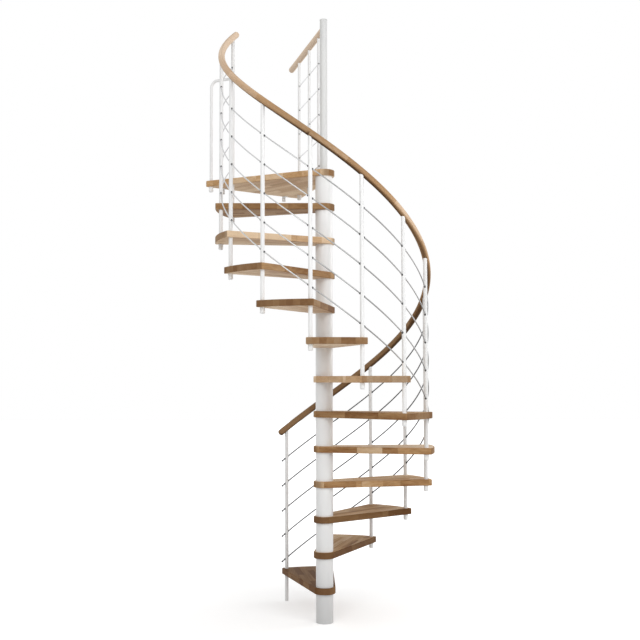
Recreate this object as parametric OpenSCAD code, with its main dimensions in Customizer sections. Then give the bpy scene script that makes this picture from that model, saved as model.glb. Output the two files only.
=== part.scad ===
// Spiral staircase with oak treads, a steel column and a railing of posts, round rods and an oak handrail.
// Millimetres. +Z is up, the origin is the middle of the column's foot on the lower floor.
// The flight climbs clockwise, seen from above. Post k stands at turn k of the flight, and tread k
// runs from post k-1 to post k.

/* [Flight] */
// Number of treads below the landing
treads = 12; // [6:1:13]
// Height from one tread to the next
rise = 222; // [185:1:235]
// Turn from one tread to the next, in degrees
step_angle = 26.28; // [22:0.01:29]
// Angle of the first post, counted anticlockwise from +X
first_post_angle = 113.2; // [-180:0.1:180]

/* [Treads] */
// Radius of the treads' outer edge
tread_r = 700; // [560:5:900]
// Thickness of the treads and the landing
tread_t = 40; // [28:1:50]
// Radius of the round inner end of the treads
hub_r = 69; // [62:1:90]
// Wood beyond the centre of a corner post, along the outer edge
post_side_margin = 23; // [18:1:40]
// Wood beyond the centre of a corner post, towards the outer edge
post_end_margin = 36; // [24:1:60]
// Radius of the treads' outer corners
corner_r = 10; // [3:1:16]

/* [Column] */
// Outer diameter of the spacer tubes between the treads
column_d = 110; // [90:1:120]
// Wall of the spacer tubes
column_wall = 3; // [2:0.5:8]
// Diameter of the pole that runs up through the treads
pole_d = 48; // [40:1:60]
// Wall of the pole
pole_wall = 4; // [2.5:0.5:8]
// Height of the pole's top above the middle of the landing rail
pole_above_rail = 59; // [30:1:200]
// Width that the cap stands proud of the pole
cap_lip = 1.5; // [0.5:0.5:5]
// Thickness of the base plate
base_plate_t = 10; // [6:1:20]
// Distance of the floor bolts' middles from the edge of the base plate
floor_bolt_inset = 12.7; // [8:0.1:13]
// Diameter of the floor bolt holes
floor_bolt_hole = 9; // [6:0.5:10]
// Number of floor bolts
floor_bolts = 4; // [3:1:6]

/* [Railing] */
// Outer diameter of the posts
post_d = 25; // [18:1:30]
// Wall of the posts
post_wall = 1.5; // [1:0.25:3]
// Diameter of the handrail
rail_d = 42; // [36:1:52]
// Height of the handrail's middle above the tread at each post
rail_height = 1195; // [950:5:1300]
// Length of handrail past the first and the last post
rail_overhang = 70; // [40:1:120]
// Diameter of the round rods
rod_d = 8; // [6:0.5:10]
// Height of the lowest rod above the tread at each post
rod_first = 296; // [260:1:300]
// Distance from the highest rod up to the handrail's middle at each post
rod_last = 205; // [80:1:300]
// Rod that sticks out below the first post
rod_tail = 44; // [20:1:60]
// Wall of the feet under the treads
foot_wall = 2.2; // [1.5:0.1:5]
// Length of the feet under the treads
foot_l = 38; // [25:1:60]
// Thickness of the closed bottom of the feet
foot_floor = 5; // [4:0.5:8]
// Radius of the rounded bottom edge of the feet
foot_round = 8; // [2:1:8]

/* [Landing] */
// Steps of the turn that the landing covers
landing_steps = 2; // [2:1:3]
// Outer diameter of the landing's posts and of the end hoop
landing_post_d = 20; // [16:1:25]
// Distance of the landing's near outer corner beyond the treads' outer edge
near_corner_out = 175; // [140:1:200]
// Distance of the landing's far outer corner beyond the treads' outer edge
far_corner_out = 103; // [80:1:150]
// Angle from the far post to the far outer corner, in degrees
far_corner_turn = 3.2; // [2.5:0.1:6]
// Radius of the landing's outer corners
landing_corner_r = 14; // [5:1:24]
// Distance of the landing railing's outer post from the circle of the treads' outer edge
landing_post_inset = 46; // [30:1:80]
// Distance of the landing railing's middle post from the column's axis
middle_post_r = 370; // [300:1:450]
// Distance of the landing railing's inner post from the column's axis
inner_post_r = 125; // [110:1:200]
// Height of the landing rail's middle above the landing
landing_rail_height = 938; // [850:1:1150]
// Length of the landing rail past its outer post
landing_rail_overhang = 245; // [60:5:260]
// Height of the lowest landing rod above the landing
landing_rod_first = 56; // [50:1:110]
// Distance from the highest landing rod up to the landing rail's middle
landing_rod_last = 192; // [80:1:300]
// Distance of the end hoop's leg from both edges at the near corner
hoop_inset = 24; // [20:1:30]
// Height of the end hoop above the landing
hoop_height = 690; // [500:5:800]
// Radius of the end hoop's bend
hoop_bend_r = 45; // [35:1:70]

/* [Landing brackets] */
// Width of the fixing brackets
bracket_w = 26; // [24:1:60]
// Length of each leg of the fixing brackets
bracket_leg = 36; // [32:1:60]
// Thickness of the fixing brackets
bracket_t = 4; // [3:0.5:6]
// Distance of the fixing brackets from the landing's outer corners
bracket_inset = 146; // [120:1:200]
// Diameter of the bolt hole in each fixing bracket
bracket_bolt_hole = 9; // [6:0.5:12]

/* [Hidden] */
// Gap between pieces that fit into or seat on each other
fit_gap = 0.3;
// Rod ends meet inside the posts with this gap
rod_end_gap = 1;
// Height that the pole cap stands above the pole's rim, and the length of its plug
cap_h = 6;
plug_l = 25;
// Solid insert in the bottom of each post
post_insert = 12;
// Rods in each panel, and rod stub past the last post
rod_count = 5;
rod_stub = 17;
// Lengths that the handrail is made of
rail_lengths = 3;
// Sides of the swept rail and rod, and stretches of each between two posts
rail_sides = 20;
rail_stretches = 6;
rod_sides = 8;
rod_stretches = 4;
// Stretches of the boards' round corners, of a tread's outer edge and of the round inner end
corner_stretches = 6;
edge_stretches = 24;
hub_stretches = 32;
// Rod that is straight on each side of a post's middle
rod_straight = 18;
// Roundness of the rail's ends: rings, and the dome's depth as a share of the rail's radius
end_rings = 5;
end_dome = 0.7;
$fn = 64;

landing_level = (treads + 1) * rise;
sleeve_l = rise - tread_t;
post_circle_r = tread_r - post_end_margin;
tread_half_angle = step_angle / 2 + asin(post_side_margin / tread_r);
rod_pitch = (rail_height - rod_last - rod_first) / (rod_count - 1);
foot_d = post_d + 2 * (fit_gap + foot_wall);
base_plate_d = column_d - 2 * (column_wall + fit_gap);
landing_rail_level = landing_level + landing_rail_height;
landing_rod_pitch = (landing_rail_height - landing_rod_last - landing_rod_first) / (rod_count - 1);
pole_top = landing_rail_level + pole_above_rail;
near_corner_r = tread_r + near_corner_out;
far_corner_r = tread_r + far_corner_out;
landing_post_r = tread_r - landing_post_inset;
landing_post_radii = [landing_post_r, middle_post_r, inner_post_r];
landing_rail_angle = post_angle(treads + landing_steps);

wood_colour = "burlywood";
white_colour = "whitesmoke";
steel_colour = "silver";

function two_digits(k) = str(k < 10 ? "0" : "", k);

// ---- Places on the flight ----

// Angle of post k; k need not be whole
function post_angle(k) = first_post_angle - k * step_angle;

// Level of tread k's top
function tread_level(k) = k * rise;

// Point at radius r and angle a
function polar(r, a) = [r * cos(a), r * sin(a)];

// Underside of the board that post k's foot hangs from
function board_underside(k) = tread_level(k) - tread_t;

// ---- Boards: a round hub with straight sides that touch it, and rounded outer corners ----

// Direction of the side that runs from the hub to the corner at radius r and angle a;
// turn is 1 for the anticlockwise side and -1 for the clockwise one
function side_angle(r, a, turn) = a - turn * asin(hub_r / r);

// Point that lies along a side at distance s and inset from its edge
function side_point(side, turn, s, inset) =
    polar(s, side) + polar(hub_r - inset, side + turn * 90);

// Where the line through p along direction a crosses the line through q along direction b
function crossing(p, a, q, b) =
    let (d = q - p, t = (d[0] * sin(b) - d[1] * cos(b)) / sin(b - a)) p + t * [cos(a), sin(a)];

// Points of an arc round mid, from one angle to another
function arc(mid, r, from, to, stretches) =
    [for (i = [0:stretches]) mid + polar(r, from + (to - from) * i / stretches)];

module tread_outline() {
    side = side_angle(tread_r, tread_half_angle, 1);
    // Middle of the corner's arc, which touches both the side and the outer edge
    mid = side_point(side, 1, sqrt(pow(tread_r - corner_r, 2) - pow(hub_r - corner_r, 2)), corner_r);
    mid_angle = atan2(mid[1], mid[0]);
    polygon(concat(
        arc(mid, corner_r, side + 90, mid_angle, corner_stretches),
        arc([0, 0], tread_r, mid_angle, -mid_angle, edge_stretches),
        arc([mid[0], -mid[1]], corner_r, -mid_angle, -side - 90, corner_stretches),
        arc([0, 0], hub_r, -side - 90, side - 270, hub_stretches)
    ));
}

module tread(k) {
    color(wood_colour)
    translate([0, 0, tread_level(k) - tread_t])
    difference() {
        rotate(post_angle(k - 0.5)) linear_extrude(tread_t) tread_outline();
        board_hole(pole_d, [0, 0]);
        for (i = [k - 1, k]) board_hole(post_d, polar(post_circle_r, post_angle(i)));
    }
}

// Clearance hole through a board for a round piece of diameter d
module board_hole(d, place) {
    translate([place[0], place[1], -1]) cylinder(h = tread_t + 2, d = d + 2 * fit_gap);
}

// The landing's near side passes the last post as a tread's side does
near_side = side_angle(tread_r, post_angle(treads) + asin(post_side_margin / tread_r), 1);
near_corner = side_point(near_side, 1, sqrt(pow(near_corner_r, 2) - pow(hub_r, 2)), 0);
far_corner_angle = landing_rail_angle - far_corner_turn;
far_side = side_angle(far_corner_r, far_corner_angle, -1);
far_corner = polar(far_corner_r, far_corner_angle);
edge_vector = near_corner - far_corner;
// Outward direction of the landing's outer edge, on the same turn as the angles of its sides
edge_out = same_turn(atan2(edge_vector[1], edge_vector[0]) - 90, (near_side + far_side) / 2);
edge_angle = edge_out + 90;

// Angle a, given in the turn that brings it nearest to angle b
function same_turn(a, b) = a + 360 * round((b - a) / 360);

// Point that keeps the same inset from a side and from the outer edge
function corner_inset(side, turn, inset) =
    crossing(side_point(side, turn, 0, inset), side, far_corner - polar(inset, edge_out), edge_angle);

module landing_outline() {
    polygon(concat(
        arc(corner_inset(near_side, 1, landing_corner_r), landing_corner_r, near_side + 90, edge_out,
            corner_stretches),
        arc(corner_inset(far_side, -1, landing_corner_r), landing_corner_r, edge_out, far_side - 90,
            corner_stretches),
        arc([0, 0], hub_r, far_side - 90, near_side - 270, hub_stretches)
    ));
}

module landing() {
    color(wood_colour)
    translate([0, 0, landing_level - tread_t])
    difference() {
        linear_extrude(tread_t) landing_outline();
        board_hole(pole_d, [0, 0]);
        board_hole(post_d, polar(post_circle_r, post_angle(treads)));
        board_hole(landing_post_d, hoop_place);
        for (r = landing_post_radii) board_hole(landing_post_d, polar(r, landing_rail_angle));
    }
}

// Angle bracket under the landing, flush with its outer edge
module bracket(place) {
    translate([place[0], place[1], landing_level - tread_t])
    rotate(edge_out)
    difference() {
        union() {
            translate([-bracket_leg, -bracket_w / 2, -bracket_t]) cube([bracket_leg, bracket_w, bracket_t]);
            translate([-bracket_t, -bracket_w / 2, -bracket_leg]) cube([bracket_t, bracket_w, bracket_leg]);
        }
        translate([-bracket_t - 1, 0, -(bracket_leg + bracket_t) / 2])
            rotate([0, 90, 0]) cylinder(h = bracket_t + 2, d = bracket_bolt_hole);
    }
}

module landing_brackets() {
    color(white_colour) {
        bracket(near_corner - polar(bracket_inset, edge_angle));
        bracket(far_corner + polar(bracket_inset, edge_angle));
    }
}

// ---- Column ----

module ring(outer_d, inner_d, h) {
    difference() {
        cylinder(h = h, d = outer_d);
        translate([0, 0, -1]) cylinder(h = h + 2, d = inner_d);
    }
}

module base_plate() {
    color(white_colour)
    difference() {
        cylinder(h = base_plate_t, d = base_plate_d);
        for (i = [0:floor_bolts - 1])
            rotate(45 + i * 360 / floor_bolts) translate([base_plate_d / 2 - floor_bolt_inset, 0, -1])
                cylinder(h = base_plate_t + 2, d = floor_bolt_hole);
    }
}

module centre_pole() {
    color(white_colour)
    translate([0, 0, base_plate_t]) ring(pole_d, pole_d - 2 * pole_wall, pole_top - base_plate_t);
}

module pole_cap() {
    color(white_colour)
    translate([0, 0, pole_top]) {
        cylinder(h = cap_h, d = pole_d + 2 * cap_lip);
        translate([0, 0, -plug_l]) cylinder(h = plug_l, d = pole_d - 2 * pole_wall - 2 * fit_gap);
    }
}

module column_sleeves() {
    color(white_colour)
    for (k = [0:treads]) translate([0, 0, tread_level(k)])
        ring(column_d, column_d - 2 * column_wall, sleeve_l);
}

// ---- Posts ----

// Slope of the handrail and the rods
climb = atan2(rise, post_circle_r * step_angle * PI / 180);

function post_bottom(k) = k == 0 ? 0 : board_underside(k) - foot_l + foot_floor;

function rod_level(k, i) = tread_level(k) + rod_first + (i - 1) * rod_pitch;

// Runs along the climb through a post, at height z
module climb_hole(d, l, z) {
    translate([0, 0, z]) rotate([0, 90 + climb, 90]) cylinder(h = l, d = d, center = true);
}

module post(k) {
    bottom = post_bottom(k);
    rail_level = tread_level(k) + rail_height;
    color(white_colour)
    rotate(post_angle(k))
    translate([post_circle_r, 0, 0])
    difference() {
        translate([0, 0, bottom]) cylinder(h = rail_level - bottom, d = post_d);
        translate([0, 0, bottom + post_insert]) cylinder(h = rail_level - bottom, d = post_d - 2 * post_wall);
        for (i = [1:rod_count]) climb_hole(rod_d + 2 * fit_gap, 3 * post_d, rod_level(k, i));
        climb_hole(rail_d + 2 * fit_gap, 4 * rail_d, rail_level);
    }
}

// Cup with a rounded bottom edge, for a post of diameter d
module foot(d, underside) {
    bore = d / 2 + fit_gap;
    translate([0, 0, underside - foot_l])
    rotate_extrude() polygon(concat(
        [[0, 0]],
        arc([foot_d / 2 - foot_round, foot_round], foot_round, -90, 0, corner_stretches),
        [[foot_d / 2, foot_l], [bore, foot_l], [bore, foot_floor], [0, foot_floor]]
    ));
}

module post_feet() {
    color(white_colour) {
        for (k = [1:treads])
            rotate(post_angle(k)) translate([post_circle_r, 0, 0]) foot(post_d, board_underside(k));
        for (r = landing_post_radii)
            translate(polar(r, landing_rail_angle)) foot(landing_post_d, landing_level - tread_t);
        translate(hoop_place) foot(landing_post_d, landing_level - tread_t);
    }
}

module landing_posts() {
    bottom = landing_level - tread_t - foot_l + foot_floor;
    color(white_colour)
    rotate(landing_rail_angle)
    for (r = landing_post_radii) translate([r, 0, 0])
        difference() {
            translate([0, 0, bottom]) cylinder(h = landing_rail_level - bottom, d = landing_post_d);
            translate([0, 0, bottom + post_insert])
                cylinder(h = landing_rail_level - bottom, d = landing_post_d - 2 * post_wall);
            for (i = [1:rod_count]) translate([0, 0, landing_rod_level(i)]) rotate([0, 90, 0])
                cylinder(h = 3 * landing_post_d, d = rod_d + 2 * fit_gap, center = true);
            translate([0, 0, landing_rail_level]) rotate([0, 90, 0])
                cylinder(h = 3 * landing_post_d, d = rail_d + 2 * fit_gap, center = true);
        }
}

// ---- End hoop: a bent tube from the landing's near corner to the last post ----

hoop_place = corner_inset(near_side, 1, hoop_inset);
last_post_place = polar(post_circle_r, post_angle(treads));
hoop_run = last_post_place - hoop_place;

module hoop_path(d) {
    leg_bottom = landing_level - tread_t - foot_l + foot_floor;
    leg_top = landing_level + hoop_height - hoop_bend_r;
    translate([0, 0, leg_bottom]) cylinder(h = leg_top - leg_bottom, d = d);
    translate([hoop_bend_r, 0, leg_top]) rotate([90, 0, 0])
        rotate([0, 0, 90]) rotate_extrude(angle = 90) translate([hoop_bend_r, 0]) circle(d = d);
    translate([hoop_bend_r, 0, leg_top + hoop_bend_r]) rotate([0, 90, 0])
        cylinder(h = norm(hoop_run) - hoop_bend_r, d = d);
}

module end_hoop() {
    color(white_colour)
    difference() {
        translate(hoop_place) rotate(atan2(hoop_run[1], hoop_run[0])) difference() {
            hoop_path(landing_post_d);
            hoop_path(landing_post_d - 2 * post_wall);
        }
        translate(last_post_place) cylinder(h = pole_top, d = post_d + 2 * fit_gap);
    }
}

// ---- Sweeps along the climb ----

// Point of a section ring: k is the place along the flight, level the height of the swept line at
// post 0, r the section's radius and a the angle round it. The section is square to the line.
function climb_point(k, level, r, a) =
    let (
        turn = post_angle(k),
        out = r * cos(a),
        up = r * sin(a)
    )
    [
        (post_circle_r + out) * cos(turn) - up * sin(climb) * sin(turn),
        (post_circle_r + out) * sin(turn) + up * sin(climb) * cos(turn),
        level + k * rise + up * cos(climb)
    ];

// Solid swept through a list of [place along the flight, radius] rings
module climb_sweep(rings, level, sides) {
    last = len(rings) - 1;
    points = [
        for (ring = rings) for (j = [0:sides - 1])
            climb_point(ring[0], level, ring[1], (j + 0.5) * 360 / sides)
    ];
    walls = [
        for (i = [0:last - 1]) for (j = [0:sides - 1])
            let (a = i * sides + j, b = i * sides + (j + 1) % sides)
                [a, b, b + sides, a + sides]
    ];
    start_cap = [for (j = [sides - 1:-1:0]) j];
    end_cap = [for (j = [0:sides - 1]) last * sides + j];
    polyhedron(points, concat(walls, [start_cap, end_cap]));
}

// Length along the climb of one step, and a length as a share of it
step_length = norm([rise, post_circle_r * step_angle * PI / 180]);
function along(l) = l / step_length;

// Rings of a domed end that closes at place k; way is -1 at the lower end and 1 at the upper end
function dome_rings(k, way, r) = [
    for (i = [0:end_rings])
        let (a = 80 - 80 * i / end_rings)
            [k - way * along(r * end_dome * (1 - sin(a))), r * cos(a)]
];

function reversed(list) = [for (i = [len(list) - 1:-1:0]) list[i]];

// Rings from one place to another, both ends included
function plain_rings(from, to, stretches, r) =
    [for (j = [0:stretches]) [from + (to - from) * j / stretches, r]];

module handrail(i) {
    bays = treads / rail_lengths;
    overhang = along(rail_overhang);
    half_gap = along(fit_gap / 2);
    color(wood_colour)
    climb_sweep(
        concat(
            i == 1 ? dome_rings(-overhang, -1, rail_d / 2) : [],
            plain_rings(
                (i - 1) * bays + (i == 1 ? 0 : half_gap), i * bays - (i == rail_lengths ? 0 : half_gap),
                rail_stretches * bays, rail_d / 2
            ),
            i == rail_lengths ? reversed(dome_rings(treads + overhang, 1, rail_d / 2)) : []
        ),
        rail_height, rail_sides
    );
}

// Rods in one height of the railing, one to each bay; they meet inside the posts
module rods(i) {
    half_gap = along(rod_end_gap / 2);
    straight = along(rod_straight);
    color(steel_colour)
    for (k = [0:treads - 1]) climb_sweep(
        concat(
            [[k == 0 ? -along(rod_tail) : k + half_gap, rod_d / 2]],
            k == 0 ? [[-straight, rod_d / 2]] : [],
            plain_rings(k + straight, k + 1 - straight, rod_stretches, rod_d / 2),
            [[k == treads - 1 ? treads + along(rod_stub) : k + 1 - half_gap, rod_d / 2]]
        ),
        rod_first + (i - 1) * rod_pitch, rod_sides
    );
}

// ---- Landing railing ----

function landing_rod_level(i) = landing_level + landing_rod_first + (i - 1) * landing_rod_pitch;

module landing_rods() {
    start = pole_d / 2 + fit_gap;
    end = landing_post_r + rod_stub;
    color(steel_colour)
    rotate(landing_rail_angle)
    for (i = [1:rod_count]) translate([start, 0, landing_rod_level(i)]) rotate([0, 90, 0])
        cylinder(h = end - start, d = rod_d);
}

module landing_rail() {
    end = landing_post_r + landing_rail_overhang;
    r = rail_d / 2;
    color(wood_colour)
    rotate(landing_rail_angle)
    difference() {
        translate([0, 0, landing_rail_level]) rotate([0, 90, 0]) {
            cylinder(h = end - r * end_dome, r = r);
            translate([0, 0, end - r]) rotate_extrude() intersection() {
                circle(r);
                square(r);
            }
        }
        translate([0, 0, landing_level]) cylinder(h = pole_top, d = pole_d + 2 * fit_gap);
    }
}

base_plate();
centre_pole();
pole_cap();
column_sleeves();
for (k = [1:treads]) tread(k);
landing();
landing_brackets();
for (k = [0:treads]) post(k);
post_feet();
landing_posts();
end_hoop();
for (i = [1:rail_lengths]) handrail(i);
landing_rail();
for (i = [1:rod_count]) rods(i);
landing_rods();
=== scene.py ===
"""Looks of a spiral staircase: laminated oak boards round a white steel column, slim white posts, steel rods
and a round oak handrail.

Metres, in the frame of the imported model: +Z is up and the origin is the middle of the column's foot. Post k
stands at turn k of the flight, and tread k runs from post k-1 to post k.
"""

import logging
import math
from dataclasses import dataclass, field
from enum import Enum
from functools import cache
from typing import Any, Mapping, Sequence

import bpy
import numpy as np
from mathutils import Matrix, Vector


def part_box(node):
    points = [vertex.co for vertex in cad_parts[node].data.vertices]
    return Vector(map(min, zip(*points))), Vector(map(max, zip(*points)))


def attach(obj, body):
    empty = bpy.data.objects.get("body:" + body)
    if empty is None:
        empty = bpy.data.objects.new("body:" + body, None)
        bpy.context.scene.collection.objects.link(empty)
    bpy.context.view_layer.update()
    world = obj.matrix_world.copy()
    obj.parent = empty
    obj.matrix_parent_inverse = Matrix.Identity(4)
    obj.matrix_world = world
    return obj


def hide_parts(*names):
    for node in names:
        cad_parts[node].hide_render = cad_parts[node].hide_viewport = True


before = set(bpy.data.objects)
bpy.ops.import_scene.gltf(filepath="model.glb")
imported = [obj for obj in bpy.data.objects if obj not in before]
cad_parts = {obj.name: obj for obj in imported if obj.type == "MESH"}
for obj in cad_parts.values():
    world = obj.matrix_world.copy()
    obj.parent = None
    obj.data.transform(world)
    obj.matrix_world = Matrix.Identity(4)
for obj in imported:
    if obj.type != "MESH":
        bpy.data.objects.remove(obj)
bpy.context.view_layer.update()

LOG = logging.getLogger("staircase")
ROOT = "root"
GRAIN = "grain"
END_GRAIN = "end_grain"
# Stored tone: painted light and shade on boards, rails, rods and column tubes, with the boards' own tone of
# wood
LIGHT_AND_TONE = "tone"
AXIS = "axis"
GIRTH = "girth"

Material = bpy.types.Material
Mesh = bpy.types.Mesh
Node = bpy.types.Node
Socket = bpy.types.NodeSocket
Thing = bpy.types.Object
Tree = bpy.types.NodeTree

Colour = tuple[float, float, float, float]
Place = tuple[float, float]
Point = tuple[float, float, float]
Line = list[tuple[Point, float]]

VECTOR = "NodeSocketVector"
NUMBER = "NodeSocketFloat"
COLOUR = "NodeSocketColor"
GEOMETRY = "NodeSocketGeometry"
MATERIAL = "NodeSocketMaterial"


class Slot(Enum):
    """The record's material slots."""

    TREAD_WOOD = "tread_wood"
    RAIL_WOOD = "rail_wood"
    ROD_STEEL = "rod_steel"
    COLUMN_PAINT = "column_paint"
    POST_PAINT = "post_paint"


# ---- Node trees ----


class Bench:
    """Places nodes in one tree and joins them."""

    def __init__(self, tree: Tree) -> None:
        """Keeps the tree that the nodes go into."""
        self.tree = tree

    def put(self, kind: str, inputs: dict[Any, Any] | None = None, **settings: Any) -> Node:
        """Adds one node.

        Args:
            kind: the node's type name.
            inputs: socket name or number, with a plain value or the output socket that feeds it.
            settings: the node's own properties.

        Returns:
            The new node.
        """
        node = self.tree.nodes.new(kind)
        for name, value in settings.items():
            setattr(node, name, value)
        for name, value in (inputs or {}).items():
            if isinstance(value, Socket):
                self.tree.links.new(value, node.inputs[name])
            else:
                node.inputs[name].default_value = value
        return node

    def out(self, kind: str, inputs: dict[Any, Any] | None = None, output: Any = 0,
            **settings: Any) -> Socket:
        """Adds one node and returns one of its outputs, by name or number."""
        return self.put(kind, inputs, **settings).outputs[output]

    def math(self, operation: str, *values: Any) -> Socket:
        """Adds a Math node and returns its output."""
        return self.out("ShaderNodeMath", dict(enumerate(values)), operation=operation)

    def swing(self, value: Any, share: Any, base: Any) -> Socket:
        """Returns base plus a share of how far value is from one half."""
        return self.math("MULTIPLY_ADD", self.math("SUBTRACT", value, 0.5), share, base)

    def wave(self, value: Any, width: Any) -> Socket:
        """Returns value as a zigzag from 0 to 1 that turns at every width."""
        return self.math("DIVIDE", self.math("PINGPONG", value, width), width)

    def scaled(self, vector: Socket, scale: Point, offset: Any = (0, 0, 0)) -> Socket:
        """Returns vector times scale plus offset."""
        return self.out("ShaderNodeVectorMath", {0: vector, 1: scale, 2: offset}, operation="MULTIPLY_ADD")

    def times(self, colour: Socket, share: Any) -> Socket:
        """Returns colour made share times as bright."""
        return self.out("ShaderNodeVectorMath", {0: colour, "Scale": share}, operation="SCALE")

    def noise(self, vector: Socket, scale: Any = 1, detail: float = 2) -> Socket:
        """Returns the value of a noise texture at vector."""
        return self.out("ShaderNodeTexNoise", {"Vector": vector, "Scale": scale, "Detail": detail})

    def blend(self, factor: Any, first: Any, second: Any) -> Socket:
        """Returns first and second mixed as colours."""
        return self.out("ShaderNodeMix", {0: factor, 6: first, 7: second}, 2, data_type="RGBA")

    def span(self, value: Any, low: float, high: float, to_low: Any = 0, to_high: Any = 1) -> Socket:
        """Returns value carried from one range to another, held inside it."""
        return self.out("ShaderNodeMapRange", {0: value, 1: low, 2: high, 3: to_low, 4: to_high})

    def read(self, name: str, output: str = "Fac") -> Socket:
        """Returns a stored attribute in a material."""
        return self.out("ShaderNodeAttribute", output=output, attribute_name=name)

    def take(self, name: str, kind: str = "FLOAT") -> Socket:
        """Returns a stored attribute in a geometry tree."""
        return self.out("GeometryNodeInputNamedAttribute", {"Name": name}, data_type=kind)

    def keep(self, geometry: Socket, name: str, value: Socket, kind: str = "FLOAT") -> Socket:
        """Returns geometry with value stored on it under a name."""
        inputs = {"Geometry": geometry, "Name": name, "Value": value}
        return self.out("GeometryNodeStoreNamedAttribute", inputs, data_type=kind)

    def made_real(self, geometry: Socket, material: Socket) -> Socket:
        """Returns geometry with its instances realized and its material set."""
        real = self.out("GeometryNodeRealizeInstances", {0: geometry})
        return self.out("GeometryNodeSetMaterial", {"Geometry": real, "Material": material})

    def join(self, node: Node, sockets: Mapping[str, Socket]) -> None:
        """Joins sockets to the node's inputs of the same names."""
        for label, socket in sockets.items():
            self.tree.links.new(socket, node.inputs[label])


def new_group(name: str, kind: str, inputs: Mapping[str, str | float],
              outputs: Mapping[str, str]) -> tuple[Bench, Mapping[str, Socket], Node]:
    """Starts a node group with named sockets.

    Args:
        name: the group's name.
        kind: the tree's type name.
        inputs: each input's socket type, or the plain value of a number.
        outputs: each output's socket type.

    Returns:
        The group's bench, the sockets that it is given and its output node.
    """
    tree = bpy.data.node_groups.new(name, kind)
    for label, given in inputs.items():
        plain = isinstance(given, float)
        socket = tree.interface.new_socket(label, in_out="INPUT", socket_type=NUMBER if plain else given)
        if plain:
            socket.default_value = given
    for label, socket_type in outputs.items():
        tree.interface.new_socket(label, in_out="OUTPUT", socket_type=socket_type)
    bench = Bench(tree)
    return bench, bench.put("NodeGroupInput").outputs, bench.put("NodeGroupOutput")


LOOKS = {"Colour": COLOUR, "Roughness": NUMBER, "Height": NUMBER}

# How finely each layer of the wood's figure repeats, along the grain and across it
DRIFT_SCALE = (1.6, 22, 22)
STREAK_SCALE = (5, 150, 150)
PORE_SCALE = (60, 1100, 1100)

# How much each layer changes the wood's tone
BLOCK_SHARE = 0.62
DRIFT_SHARE = 0.85
STREAK_SHARE = 0.5
RING_SHARE = -0.2

# Pale colour that a high stored tone mixes the oak toward: a painted sheen, the whitening that a gloss
# reflection gives
PAINTED_SHEEN = (0.74, 0.66, 0.56, 1)
PORE_BROWN = (0.10, 0.055, 0.028, 1)
END_BROWN = (0.17, 0.092, 0.045, 1)


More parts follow.
